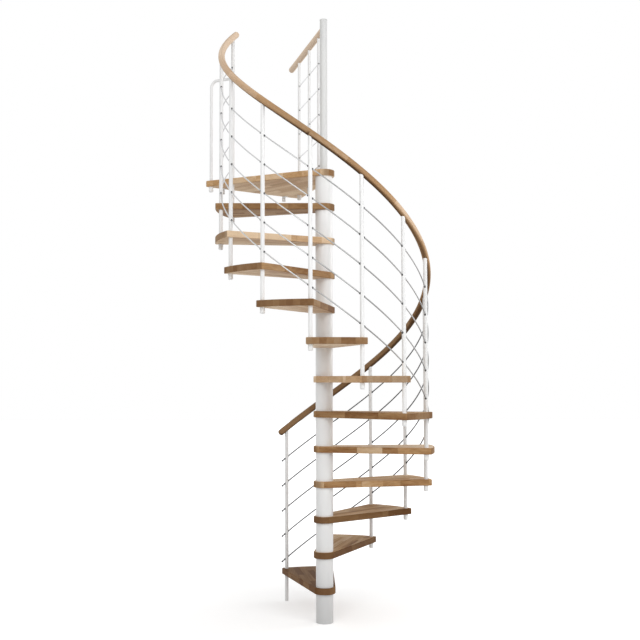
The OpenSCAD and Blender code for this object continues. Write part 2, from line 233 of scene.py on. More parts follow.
@cache
def laminated_wood_group() -> Tree:
    """Builds the group that lays out staves of finger-jointed blocks, each with its own tone and rings, with
    painted light and shade laid over them by the stored tone.

    Returns:
        The node group, with Colour, Roughness and Height outputs.
    """
    bench, given, made = new_group(
        "laminated_wood", "ShaderNodeTree",
        {"Grain": VECTOR, "End Grain": 0.0, "Light And Tone": 0.0, "Stave Width": 0.042, "Block Length": 0.3,
         "Finger Length": 0.009, "Finger Pitch": 0.0045, "Ring Width": 0.0032, "Spread": 1.0,
         "Pale": COLOUR, "Middle": COLOUR, "Deep": COLOUR},
        LOOKS,
    )
    do, span = bench.math, bench.span
    x, y, z = bench.put("ShaderNodeSeparateXYZ", {0: given["Grain"]}).outputs
    across = do("DIVIDE", y, given["Stave Width"])
    stave_shift = 17.31
    reach = do("MULTIPLY_ADD", bench.wave(y, given["Finger Pitch"]), given["Finger Length"], x)
    reach = do("DIVIDE", reach, given["Block Length"])
    block_place = do("MULTIPLY_ADD", do("FLOOR", across), stave_shift, reach)
    block = bench.out("ShaderNodeTexVoronoi", {"W": block_place, "Scale": 1.0, "Randomness": 0.85}, "Color",
                      voronoi_dimensions="1D")
    first, second, third = bench.put("ShaderNodeSeparateColor", {0: block}).outputs

    # Each block comes from another place in the tree, so every pattern starts from its own point
    start = bench.scaled(block, (40, 40, 40))
    drift = bench.noise(bench.scaled(given["Grain"], DRIFT_SCALE, start))
    streak = bench.noise(bench.scaled(given["Grain"], STREAK_SCALE, start), detail=3)
    pore = bench.noise(bench.scaled(given["Grain"], PORE_SCALE, start), detail=1)

    # Growth rings round a line that leans a little from the block's own length
    off_middle = do("SUBTRACT", do("FRACT", across), 0.5)
    lean = bench.swing(third, do("MULTIPLY", x, 0.22), do("MULTIPLY", off_middle, given["Stave Width"]))
    side = do("ADD", do("MULTIPLY_ADD", second, 0.16, -0.08), lean)
    depth = do("ADD", z, do("MULTIPLY_ADD", third, 0.09, 0.012))
    radius = do("SQRT", do("ADD", do("MULTIPLY", side, side), do("MULTIPLY", depth, depth)))
    ring = bench.wave(do("MULTIPLY_ADD", drift, 0.012, radius), given["Ring Width"])
    ring = do("POWER", ring, 2.2)

    # The tone between deep and pale; the stored tone, painted light and shade along with the board's own tone
    # of wood, moves it, and deep boards vary less
    tone = bench.swing(first, BLOCK_SHARE, 0.5)
    tone = bench.swing(drift, DRIFT_SHARE, tone)
    tone = bench.swing(streak, STREAK_SHARE, tone)
    tone = do("MULTIPLY_ADD", ring, RING_SHARE, do("ADD", tone, 0.06))
    spread = do("MULTIPLY", span(given["Light And Tone"], -0.4, -0.1, 0.5, 1), given["Spread"])
    tone = do("ADD", bench.swing(tone, spread, 0.5), given["Light And Tone"])
    shade = bench.blend(span(tone, 0.0, 0.5), given["Deep"], given["Middle"])
    shade = bench.blend(span(tone, 0.5, 1.0), shade, given["Pale"])
    # Painted light and shade: the stored tone also makes the colour brighter or darker, and a high one mixes
    # it toward a pale painted sheen
    shade = bench.times(shade, span(given["Light And Tone"], -0.7, 0.4, 0.3, 1.4))
    shade = bench.blend(span(given["Light And Tone"], 0.16, 0.6, 0, 0.75), shade, PAINTED_SHEEN)

    glue = span(do("ABSOLUTE", off_middle), 0.484, 0.5, 0, 0.3)
    dark = do("MAXIMUM", glue, span(pore, 0.6, 0.72, 0, 0.34))
    shade = bench.blend(dark, shade, PORE_BROWN)
    end = do("MULTIPLY", given["End Grain"], span(streak, 0.2, 0.8, 0.5, 0.78))
    shade = bench.blend(end, shade, END_BROWN)
    height = do("SUBTRACT", do("MULTIPLY_ADD", streak, 0.5, do("MULTIPLY", ring, -0.12)), dark)
    rough = do("MULTIPLY_ADD", dark, 0.3, span(streak, 0.25, 0.75, 0.5, 0.62))
    rough = do("MULTIPLY_ADD", given["End Grain"], 0.16, rough)
    bench.join(made, {"Colour": shade, "Roughness": rough, "Height": height})
    return bench.tree


@cache
def coating_group() -> Tree:
    """Builds the group for coated and moulded surfaces: a fine ripple, a slow change of tone, and painted
    shade from the stored tone.

    Returns:
        The node group, with Colour, Roughness and Height outputs.
    """
    bench, given, made = new_group(
        "coating", "ShaderNodeTree",
        {"Place": VECTOR, "Ripple Size": 0.0016, "Gloss Low": 0.3, "Gloss High": 0.4, "Light And Tone": 0.0,
         "Clean": COLOUR, "Worn": COLOUR},
        LOOKS,
    )
    ripple = bench.noise(given["Place"], bench.math("DIVIDE", 1.0, given["Ripple Size"]), 1)
    cloud = bench.noise(bench.scaled(given["Place"], (1, 1, 0.35)), 9.0, 3)
    shade = bench.blend(bench.span(cloud, 0.42, 0.78), given["Clean"], given["Worn"])
    # Painted shade: the stored tone makes the coat darker or brighter, as on the column's lowest tubes
    shade = bench.times(shade, bench.math("ADD", given["Light And Tone"], 1.0))
    gloss = bench.span(cloud, 0.3, 0.7, given["Gloss Low"], given["Gloss High"])
    bench.join(made, {"Colour": shade, "Roughness": gloss, "Height": ripple})
    return bench.tree


def new_material(name: str) -> tuple[Material, Bench, Node]:
    """Starts a material.

    Args:
        name: the material's name.

    Returns:
        The material, its bench and its Principled shader.
    """
    material = bpy.data.materials.new(name)
    material.use_nodes = True
    return material, Bench(material.node_tree), material.node_tree.nodes["Principled BSDF"]


def dress_shader(bench: Bench, shader: Node, looks: Mapping[str, Socket], bump: float, depth: float) -> None:
    """Joins a finish's colour, roughness and relief to a shader.

    Args:
        bench: the material's bench.
        shader: the material's Principled shader.
        looks: the Colour, Roughness and Height sockets.
        bump: strength of the relief.
        depth: depth of the relief, in metres.
    """
    height = {"Height": looks["Height"], "Strength": bump, "Distance": depth}
    relief = bench.out("ShaderNodeBump", height)
    bench.join(shader, {"Base Color": looks["Colour"], "Roughness": looks["Roughness"], "Normal": relief})


# ---- Finishes ----


@dataclass(frozen=True)
class OakFinish:
    """Lacquered oak, glued up from finger-jointed blocks."""

    name: str
    pale: Colour
    middle: Colour
    deep: Colour
    stave_width: float = 0.042
    block_length: float = 0.3
    finger_length: float = 0.009
    spread: float = 1.0
    specular: float = 0.06

    def material(self) -> Material:
        """Builds the material.

        Returns:
            The material, which reads the pieces' grain, end grain and stored tone, the tone carrying painted
            light and shade.
        """
        material, bench, shader = new_material(self.name)
        inputs = {"Grain": bench.read(GRAIN, "Vector"), "End Grain": bench.read(END_GRAIN),
                  "Light And Tone": bench.read(LIGHT_AND_TONE), "Stave Width": self.stave_width,
                  "Block Length": self.block_length, "Finger Length": self.finger_length,
                  "Spread": self.spread, "Pale": self.pale, "Middle": self.middle, "Deep": self.deep}
        wood = bench.put("ShaderNodeGroup", inputs, node_tree=laminated_wood_group())
        dress_shader(bench, shader, wood.outputs, bump=0.35, depth=0.0006)
        shader.inputs["Specular IOR Level"].default_value = self.specular
        return material


@dataclass(frozen=True)
class CoatFinish:
    """A baked coat or a moulded surface."""

    name: str
    clean: Colour
    worn: Colour
    ripple: float = 0.0016
    gloss: tuple[float, float] = (0.3, 0.4)
    bump: float = 0.12

    def material(self) -> Material:
        """Builds the material.

        Returns:
            The material, which reads object coordinates and the pieces' stored tone of painted shade, if they
            have one.
        """
        material, bench, shader = new_material(self.name)
        inputs = {"Place": bench.out("ShaderNodeTexCoord", output="Object"), "Light And Tone": bench.read(LIGHT_AND_TONE),
                  "Ripple Size": self.ripple, "Gloss Low": self.gloss[0], "Gloss High": self.gloss[1],
                  "Clean": self.clean, "Worn": self.worn}
        coat = bench.put("ShaderNodeGroup", inputs, node_tree=coating_group())
        dress_shader(bench, shader, coat.outputs, self.bump, depth=0.0002)
        return material


@dataclass(frozen=True)
class SteelFinish:
    """Drawn stainless steel, with fine lines along each rod, dulled or brightened by painted light and shade
    from the pieces' stored tone.
    """

    name: str
    bright: Colour
    dull: Colour
    line_scale: Point = (9, 2600, 2600)
    patch_scale: Point = (14, 60, 60)

    def material(self) -> Material:
        """Builds the material.

        Returns:
            The material, which reads the pieces' grain and their stored tone of painted light and shade.
        """
        material, bench, shader = new_material(self.name)
        grain = bench.read(GRAIN, "Vector")
        line = bench.noise(bench.scaled(grain, self.line_scale))
        patch = bench.noise(bench.scaled(grain, self.patch_scale))
        shade = bench.blend(bench.span(line, 0.3, 0.7), self.dull, self.bright)
        # Painted light and shade: the stored tone makes the steel darker or brighter
        shade = bench.times(shade, bench.math("ADD", bench.read(LIGHT_AND_TONE), 1.0))
        rough = bench.math("MULTIPLY_ADD", patch, 0.12, bench.span(line, 0.3, 0.7, 0.2, 0.3))
        looks = {"Colour": shade, "Roughness": rough, "Height": line}
        dress_shader(bench, shader, looks, bump=0.1, depth=0.0001)
        shader.inputs["Metallic"].default_value = 1.0
        return material


BOARD_OAK = OakFinish("board_oak", pale=(0.61, 0.45, 0.29, 1), middle=(0.445, 0.266, 0.125, 1),
                      deep=(0.21, 0.094, 0.033, 1), spread=1.1)
RAIL_OAK = OakFinish("rail_oak", pale=(0.60, 0.445, 0.315, 1), middle=(0.405, 0.25, 0.132, 1),
                     deep=(0.21, 0.112, 0.05, 1), stave_width=0.2, block_length=0.34, spread=0.6)
WHITE_COLUMN = CoatFinish("white_column_coat", clean=(0.80, 0.80, 0.795, 1), worn=(0.77, 0.772, 0.77, 1))
# The pole's white is darker than the column's: painted shade, where the pole stands nearer the lamps
WHITE_POLE_SHADED = CoatFinish("white_pole_painted_shade", clean=(0.63, 0.635, 0.625, 1), worn=(0.60, 0.60, 0.60, 1))
WHITE_POST = CoatFinish("white_post_coat", clean=(0.79, 0.79, 0.785, 1), worn=(0.75, 0.75, 0.75, 1),
                        ripple=0.0011)
BLACK_BUSH = CoatFinish("black_bush", clean=(0.020, 0.020, 0.021, 1), worn=(0.035, 0.035, 0.036, 1),
                        ripple=0.0006, gloss=(0.42, 0.55), bump=0.25)
GREY_BUSH = CoatFinish("grey_bush", clean=(0.20, 0.20, 0.20, 1), worn=(0.15, 0.15, 0.152, 1), ripple=0.0006,
                       gloss=(0.4, 0.5), bump=0.2)
ROD_STEEL = SteelFinish("drawn_steel", bright=(0.33, 0.33, 0.33, 1), dull=(0.22, 0.22, 0.225, 1))


@cache
def material_of(finish: OakFinish | CoatFinish | SteelFinish) -> Material:
    """Returns a finish's material, built the first time that it is asked for."""
    return finish.material()


# ---- Pieces ----


def new_object(name: str, data: Mesh | bpy.types.Light | bpy.types.Camera) -> Thing:
    """Puts a new object in the scene.

    Args:
        name: the object's name.
        data: what it shows.

    Returns:
        The object.
    """
    thing = bpy.data.objects.new(name, data)
    bpy.context.scene.collection.objects.link(thing)
    return thing


def mesh_of(name: str, points: Sequence[Sequence[float]], faces: Sequence[Sequence[int]] = (),
            edges: Sequence[tuple[int, int]] = ()) -> Mesh:
    """Builds a mesh.

    Args:
        name: the mesh's name.
        points: its points.
        faces: the point numbers of each face.
        edges: the point numbers of each loose edge.

    Returns:
        The mesh.
    """
    mesh = bpy.data.meshes.new(name)
    mesh.from_pydata([tuple(p) for p in points], list(edges), [tuple(f) for f in faces])
    mesh.update()
    return mesh


def store(mesh: Mesh, name: str, values: np.ndarray) -> None:
    """Stores one value for each point of a mesh.

    Args:
        mesh: the mesh.
        name: the attribute's name.
        values: a number or a vector for each point.
    """
    kind, field_name = ("FLOAT", "value") if values.ndim == 1 else ("FLOAT_VECTOR", "vector")
    attribute = mesh.attributes.new(name, kind, "POINT")
    attribute.data.foreach_set(field_name, values.astype(np.float32).ravel())


def heights(mesh: Mesh) -> np.ndarray:
    """Returns the height of each point of a mesh."""
    return np.array([v.co.z for v in mesh.vertices])


def shaded(mesh: Mesh, sharp: float = 40) -> Mesh:
    """Returns mesh shaded smooth, but for the edges that turn more than sharp degrees."""
    mesh.shade_smooth()
    mesh.set_sharp_from_angle(angle=math.radians(sharp))
    return mesh


def plain_mesh(thing: Thing) -> Mesh:
    """Returns what an object's modifiers make of it, as a plain mesh."""
    graph = bpy.context.evaluated_depsgraph_get()
    seen = thing.evaluated_get(graph)
    return bpy.data.meshes.new_from_object(seen, preserve_all_data_layers=True, depsgraph=graph)


def fitted(piece: Thing, slot: Slot | None = None, *nodes: str) -> None:
    """Hands a finished piece to the frame.

    Args:
        piece: the piece, at the origin with its place in its mesh.
        slot: the record's material slot, if it has one; not used.
        nodes: the CAD nodes that it stands for.
    """
    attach(piece, ROOT)
    if nodes:
        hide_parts(*nodes)
    LOG.info("%s: %d faces", piece.name, len(piece.data.polygons))


def coat_nodes(names: Sequence[str], finish: CoatFinish) -> None:
    """Gives CAD nodes that show as they are their finish.

    Args:
        names: the nodes.
        finish: their finish.
    """
    for name in names:
        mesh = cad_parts[name].data
        mesh.materials.clear()
        mesh.materials.append(material_of(finish))
        LOG.info("%s: %s", name, finish.name)


def turned_mesh(name: str, profile: Sequence[Place], sides: int) -> Mesh:
    """Turns a profile round the Z axis.

    Args:
        name: the mesh's name.
        profile: radius and height of each point, from the bottom outward and up; a radius of 0 is a pole.
        sides: number of sides.

    Returns:
        A closed mesh if the profile starts and ends on the axis or where it began.
    """
    points, rings = [], []
    closed = profile[0] == profile[-1]
    for radius, height in profile[:-1] if closed else profile:
        if radius == 0:
            rings.append([len(points)] * sides)
            points.append((0.0, 0.0, height))
            continue
        rings.append(list(range(len(points), len(points) + sides)))
        turns = (2 * math.pi * j / sides for j in range(sides))
        points += [(radius * math.cos(a), radius * math.sin(a), height) for a in turns]
    pairs = list(zip(rings, rings[1:] + rings[:1])) if closed else list(zip(rings, rings[1:]))
    faces = []
    for low, high in pairs:
        for j in range(sides):
            corner = (low[j], low[(j + 1) % sides], high[(j + 1) % sides], high[j])
            faces.append(tuple(dict.fromkeys(corner)))
    return shaded(mesh_of(name, points, faces))


def rounded(middle: Place, radius: float, start: float, end: float, steps: int) -> list[Place]:
    """Returns points of an arc, from one angle to another in degrees."""
    turns = (math.radians(start + (end - start) * i / steps) for i in range(steps + 1))
    return [(middle[0] + radius * math.cos(a), middle[1] + radius * math.sin(a)) for a in turns]


# ---- Geometry node trees ----


@cache
def swept_round_tree() -> Tree:
    """Builds the tree that sweeps a round section along lines and stores where the grain runs.

    Returns:
        The tree, with Radius, Sides, Grain Start and Material inputs.
    """
    bench, given, made = new_group(
        "swept_round", "GeometryNodeTree",
        {"Geometry": GEOMETRY, "Radius": 0.02, "Sides": "NodeSocketInt", "Grain Start": 0.0,
         "Material": MATERIAL},
        {"Geometry": GEOMETRY},
    )
    out = bench.out
    line = out("GeometryNodeMeshToCurve", {0: given["Geometry"]})
    line = out("GeometryNodeSetCurveNormal", {0: line}, mode="Z_UP")
    along = out("GeometryNodeSplineParameter", output="Length")
    line = bench.keep(line, "along", bench.math("ADD", along, given["Grain Start"]))
    ring = out("GeometryNodeCurvePrimitiveCircle", {"Resolution": given["Sides"], "Radius": given["Radius"]})
    ring = bench.keep(ring, "section", out("GeometryNodeInputPosition"), "FLOAT_VECTOR")
    sweep = {"Curve": line, "Profile Curve": ring, "Scale": bench.take(GIRTH), "Fill Caps": True}
    tube = out("GeometryNodeCurveToMesh", sweep)
    x, y, _ = bench.put("ShaderNodeSeparateXYZ", {0: bench.take("section", "FLOAT_VECTOR")}).outputs
    grain = out("ShaderNodeCombineXYZ", {0: bench.take("along"), 1: x, 2: y})
    tube = out("GeometryNodeSetShadeSmooth", {"Geometry": bench.keep(tube, GRAIN, grain, "FLOAT_VECTOR")})
    bench.join(made, {"Geometry": bench.made_real(tube, given["Material"])})
    return bench.tree


@cache
def set_on_marks_tree() -> Tree:
    """Builds the tree that sets one small piece on every mark, turned to the mark's axis.

    Returns:
        The tree, with Piece and Material inputs.
    """
    bench, given, made = new_group(
        "set_on_marks", "GeometryNodeTree",
        {"Geometry": GEOMETRY, "Piece": "NodeSocketObject", "Material": MATERIAL},
        {"Geometry": GEOMETRY},
    )
    out = bench.out
    piece = out("GeometryNodeObjectInfo", {"Object": given["Piece"]}, "Geometry", transform_space="ORIGINAL")
    turn = out("FunctionNodeAlignRotationToVector", {"Vector": bench.take(AXIS, "FLOAT_VECTOR")}, axis="Z")
    marks = out("GeometryNodeMeshToPoints", {0: given["Geometry"]})
    row = out("GeometryNodeInstanceOnPoints", {"Points": marks, "Instance": piece, "Rotation": turn})
    bench.join(made, {"Geometry": bench.made_real(row, given["Material"])})
    return bench.tree


def grown(name: str, start: Mesh, tree: Tree, values: Mapping[str, Any]) -> Thing:
    """Runs a node tree on a mesh and keeps the result as a plain mesh.

    Args:
        name: the piece's name.
        start: the mesh that the tree starts from.
        tree: the node tree.
        values: the tree's inputs by name.

    Returns:
        The piece.
    """
    seed = new_object(name + "_start", start)
    modifier = seed.modifiers.new("grow", "NODES")
    modifier.node_group = tree
    sockets = {s.name: s.identifier for s in tree.interface.items_tree if s.in_out == "INPUT"}
    for label, value in values.items():
        modifier[sockets[label]] = value
    mesh = plain_mesh(seed)
    mesh.name = name
    seed.modifiers.remove(modifier)
    bpy.data.objects.remove(seed)
    return new_object(name, mesh)


def swept(name: str, lines: Sequence[Line], radius: float, sides: int, finish: OakFinish | SteelFinish,
          grain_start: float = 0.0) -> Thing:
    """Sweeps a round section along lines.

    Args:
        name: the piece's name.
        lines: for each line, its points with the share of the radius that the section has there.
        radius: the section's radius.
        sides: the section's number of sides.
        finish: the piece's finish.
        grain_start: where the wood's pattern starts, so that no two pieces match.

    Returns:
        The piece.
    """
    points, edges, girths = [], [], []
    for line in lines:
        first = len(points)
        points += [p for p, _ in line]
        girths += [g for _, g in line]
        edges += [(i, i + 1) for i in range(first, len(points) - 1)]
    start = mesh_of(name + "_line", points, edges=edges)
    store(start, GIRTH, np.array(girths))
    piece = grown(name, start, swept_round_tree(), {
        "Radius": radius, "Sides": sides, "Grain Start": grain_start, "Material": material_of(finish)})
    shaded(piece.data, 50)
    return piece


def repeated(name: str, shape: Mesh, marks: Sequence[tuple[Point, Point]], finish: CoatFinish) -> Thing:
    """Sets a shape on every mark.

    Args:
        name: the piece's name.
        shape: the shape, with its axis along Z.
        marks: the place and the axis of each one.
        finish: the piece's finish.

    Returns:
        The piece.
    """
    start = mesh_of(name + "_marks", [p for p, _ in marks])
    store(start, AXIS, np.array([a for _, a in marks]))
    pattern = new_object(name + "_pattern", shape)
    piece = grown(name, start, set_on_marks_tree(), {"Piece": pattern, "Material": material_of(finish)})
    bpy.data.objects.remove(pattern)
    return piece


# ---- The flight's places ----


def spaced(first: float, last: float, count: int, i: int) -> float:
    """Returns place i, counted from 0, of count places spread evenly from first to last."""
    return first + i * (last - first) / (count - 1)


@dataclass(frozen=True)
class Flight:
    """Where the flight runs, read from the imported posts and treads, with the railing's heights."""

    treads: int = 12
    rail_height: float = 1.195
    rod_first: float = 0.296
    rod_last: float = 0.205
    rods: int = 5
    radius: float = field(init=False)
    angles: tuple[float, ...] = field(init=False)
    rise: float = field(init=False)

    def __post_init__(self) -> None:
        """Reads the posts' and treads' boxes and works out the radius, the angles and the rise."""
        middles = [sum(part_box(f"post_{k:02d}"), Vector()) / 2 for k in range(self.treads + 1)]
        angles = np.unwrap([math.atan2(m.y, m.x) for m in middles])
        tops = [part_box(f"tread_{k:02d}")[1].z for k in (1, self.treads)]
        object.__setattr__(self, "radius", float(np.mean([math.hypot(m.x, m.y) for m in middles])))
        object.__setattr__(self, "angles", tuple(float(a) for a in angles))
        object.__setattr__(self, "rise", (tops[1] - tops[0]) / (self.treads - 1))

    @property
    def turn(self) -> float:
        """Returns the angle from one post to the next, in radians."""
        return (self.angles[-1] - self.angles[0]) / self.treads

    @property
    def step_length(self) -> float:
        """Returns the length along the climb of one step."""
        return math.hypot(self.rise, self.radius * self.turn)

    def angle(self, k: float) -> float:
        """Returns the angle at place k, which need not be whole."""
        return self.angles[0] + k * self.turn

    def point(self, k: float, level: float) -> Point:
        """Returns the point at place k of the line that passes post 0 at height level."""
        a = self.angle(k)
        return self.radius * math.cos(a), self.radius * math.sin(a), level + k * self.rise

    def climb(self, k: float) -> Point:
        """Returns the direction of the climb at place k."""
        a, reach = self.angle(k), self.radius * self.turn
        return tuple(Vector((-math.sin(a) * reach, math.cos(a) * reach, self.rise)).normalized())

    def along(self, length: float) -> float:
        """Returns a length along the climb as a share of a step."""
        return length / self.step_length

    def rod_level(self, i: int) -> float:
        """Returns the height of rod i above the tread at each post, counted from 0."""
        return spaced(self.rod_first, self.rail_height - self.rod_last, self.rods, i)


def shade_along(piece: Thing, flight: Flight, level: float, light_and_tones: Sequence[float],
                under_shading: Sequence[float] = (0.0,)) -> None:
    """Stores a tone of painted light and shade that changes along a piece which climbs with the flight.

    Args:
        piece: the piece.
        flight: the flight.
        level: the piece's height at post 0.
        light_and_tones: the tone at each post.
        under_shading: what the underside's tone has more than that at each post, painted shade where it is
            lower.
    """
    places = (heights(piece.data) - level) / flight.rise
    under_start, under_width = 0.35, 0.45
    # Painted shade on the underside: points that face down take the under tone as well
    under = np.clip([(-v.normal.z - under_start) / under_width for v in piece.data.vertices], 0, 1)
    tone = np.interp(places, range(len(light_and_tones)), light_and_tones)
    store(piece.data, LIGHT_AND_TONE, tone + under * np.interp(places, range(len(under_shading)), under_shading))


def dome(radius: float) -> list[Place]:
    """Lays out a domed end.

    Args:
        radius: radius at the dome's root.

    Returns:
        Distance before the tip and share of the radius of each ring, from the root to the tip.
    """
    depth, last_turn, rings = 0.7, 80, 10
    turns = (math.radians(last_turn * i / rings) for i in range(rings + 1))
    return [(radius * depth * (1 - math.sin(a)), math.cos(a)) for a in turns]


# ---- Boards ----


@dataclass(frozen=True)
class BoardLightAndTone:
    """How much paler or deeper than the common oak a board's edges, top and underside are: partly the board's
    own tone, partly painted light and shade, such as darker low boards and paler undersides.
    """

    edge: float
    top: float
    under: float


@dataclass
class Board:
    """One laminated board, made from the rim of its CAD node with an eased edge."""

    node: str
    name: str
    heading: float
    number: int
    tone: BoardLightAndTone
    edge_radius: float = 0.0045
    edge_steps: int = 5
    half_stave: float = 0.021
    grain_shift: Point = (2.37, 0.546, 0.31)

    def rim(self) -> tuple[np.ndarray, np.ndarray, list[int], list[list[int]]]:
        """Reads the board's top from its CAD node.

        Returns:
            The top's points, its triangles, and the point numbers of the outline and of each hole's edge.
        """
        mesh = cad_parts[self.node].data
        mesh.calc_loop_triangles()
        places = np.array([v.co for v in mesh.vertices], float)
        triangles = np.array([t.vertices for t in mesh.loop_triangles])
        level, digits = places[:, 2].max(), 5
        triangles = triangles[(places[triangles][:, :, 2] > level - 0.1 ** digits).all(axis=1)]
        flat, numbers = np.unique(np.round(places[:, :2], digits), axis=0, return_inverse=True)
        triangles = numbers.reshape(-1)[triangles]
        sides = {(int(t[i]), int(t[(i + 1) % 3])) for t in triangles for i in range(3)}
        onward = {a: b for a, b in sides if (b, a) not in sides}
        loops = []
        while onward:
            start = min(onward)
            loop, here = [start], onward.pop(start)
            while here != start:
                loop.append(here)
                here = onward.pop(here)
            loops.append(loop)
        loops.sort(key=lambda loop: -np.ptp(flat[loop], axis=0).prod())
        return flat, triangles, loops[0], loops[1:]

    def pattern(self, points: Sequence[Point], low: float) -> np.ndarray:
        """Lays the grain along the board, with a start of its own for each board.

        Args:
            points: the board's points.
            low: height of its underside.

        Returns:
            Place along, across and through the wood at each point.
        """
        places = np.array(points)
        along = np.array([math.cos(self.heading), math.sin(self.heading)])
        across = np.array([-along[1], along[0]])
        shift = [step * self.number for step in self.grain_shift]
        return np.column_stack([places[:, :2] @ along + shift[0],
                                places[:, :2] @ across + self.half_stave + shift[1],
                                places[:, 2] - low + shift[2]])

    def mitres(self, rim: np.ndarray) -> np.ndarray:
        """Works out which way each point of the rim moves when the board grows by one unit all round.

        Args:
            rim: the rim's points in order.

        Returns:
            A vector for each point, longest where the rim turns most.
        """
        normals = []
        for a, b in ((np.roll(rim, 1, axis=0), rim), (rim, np.roll(rim, -1, axis=0))):
            way = (b - a) / np.linalg.norm(b - a, axis=1, keepdims=True)
            normals.append(np.column_stack([way[:, 1], -way[:, 0]]))
        return (normals[0] + normals[1]) / (1 + (normals[0] * normals[1]).sum(axis=1, keepdims=True))

    def eased(self, low: float, high: float) -> list[Place]:
        """Lays out the board's edge, rounded below and above.

        Args:
            low: height of the underside.
            high: height of the top.

        Returns:
            Distance in from the rim and height of each ring of points, from the underside up.
        """
        r, steps = self.edge_radius, self.edge_steps
        turns = (math.pi / 2 * i / steps for i in range(steps + 1))
        quarter = [(r * (1 - math.sin(a)), r * (1 - math.cos(a))) for a in turns]
        return [(d, low + lift) for d, lift in quarter] + [(d, high - lift) for d, lift in quarter[::-1]]

    def build(self) -> Mesh:
        """Builds the board's mesh.

        Returns:
            A closed mesh with grain, end grain and stored tone, the tone carrying painted light and shade.
        """
        flat, triangles, outline, holes = self.rim()
        low, high = (corner.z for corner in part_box(self.node))
        edge = flat[outline]
        outward, rings = self.mitres(edge), self.eased(low, high)
        points, faces, ends, light_and_tones = [], [], [], []
        heading = np.array([math.cos(self.heading), math.sin(self.heading)])
        # End grain shows where the rim turns across the staves
        end_start, end_width = 0.45, 0.35
        square = np.clip((np.abs(outward @ heading) - end_start) / end_width, 0, 1)
        for inset, level in rings:
            points += [(*p, level) for p in edge - outward * inset]
            ends += list(square * (1 - (inset / self.edge_radius) ** 2))
            light_and_tones += [self.tone.edge] * len(outline)
        count = len(outline)
        # Painted light and shade with the board's own tone: the edge, the underside and the top each get
        # their own stored tone
        light_and_tones[:count] = [self.tone.under] * count
        light_and_tones[-count:] = [self.tone.top] * count
        for lower in range(0, (len(rings) - 1) * count, count):
            upper = lower + count
            sides = ((i, (i + 1) % count) for i in range(count))
            faces += [(lower + i, lower + n, upper + n, upper + i) for i, n in sides]
        # Points of the two flat faces: the outline's are the first and last ring, the holes' are their own
        under = {p: i for i, p in enumerate(outline)}
        over = {p: (len(rings) - 1) * count + i for i, p in enumerate(outline)}
        flats = ((under, low, self.tone.under), (over, high, self.tone.top))
        for hole in holes:
            for table, level, tone in flats:
                table.update({p: len(points) + i for i, p in enumerate(hole)})
                light_and_tones += [tone] * len(hole)
                points += [(*flat[p], level) for p in hole]
                ends += [0.0] * len(hole)
            faces += [(under[a], under[b], over[b], over[a]) for a, b in zip(hole, hole[1:] + hole[:1])]
        faces += [tuple(over[p] for p in t) for t in triangles]
        faces += [tuple(under[p] for p in t[::-1]) for t in triangles]

        mesh = mesh_of(self.name, points, faces)
        store(mesh, GRAIN, self.pattern(points, low))
        store(mesh, END_GRAIN, np.array(ends))
        store(mesh, LIGHT_AND_TONE, np.array(light_and_tones))
        return mesh

    def dress(self) -> None:
        """Builds the board, shades it and hands it to the frame."""
        board = new_object(self.name, shaded(self.build(), 35))
        weigh = board.modifiers.new("weigh", "WEIGHTED_NORMAL")
        weigh.keep_sharp = True
        mesh = plain_mesh(board)
        board.modifiers.remove(weigh)
        board.data = mesh
        mesh.materials.append(material_of(BOARD_OAK))
        fitted(board, Slot.TREAD_WOOD, self.node)


@dataclass
class Boards:
    """The treads and the landing, each with a stored tone that is partly its own tone of wood and partly
    painted light and shade.
    """

    flight: Flight
    # Painted light and shade with each board's tone: the low boards darker, several undersides paler
    light_and_tones: tuple[BoardLightAndTone, ...] = (
        BoardLightAndTone(-0.38, -0.36, -0.3), BoardLightAndTone(-0.42, 0.0, -0.2), BoardLightAndTone(-0.4, 0.0, -0.2),
        BoardLightAndTone(0.02, 0.14, 0.0), BoardLightAndTone(0.01, 0.36, 0.0), BoardLightAndTone(-0.1, 0.0, 0.0),
        BoardLightAndTone(0.22, 0.1, 0.2), BoardLightAndTone(0.0, 0.0, 0.42), BoardLightAndTone(-0.2, 0.0, 0.3),
        BoardLightAndTone(-0.08, 0.0, 0.3), BoardLightAndTone(0.24, 0.1, 0.26), BoardLightAndTone(-0.22, 0.0, -0.12))
    landing_light_and_tone: BoardLightAndTone = BoardLightAndTone(0.14, 0.05, 0.28)

    def dress(self) -> None:
        """Builds every board."""
        for k, tone in enumerate(self.light_and_tones, 1):
            Board(f"tread_{k:02d}", f"tread_board_{k:02d}", self.flight.angle(k - 0.5), k, tone).dress()
        low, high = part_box("landing")
        heading = math.atan2(high.y, low.x)
        Board("landing", "landing_board", heading, 0, self.landing_light_and_tone).dress()


# ---- Column ----


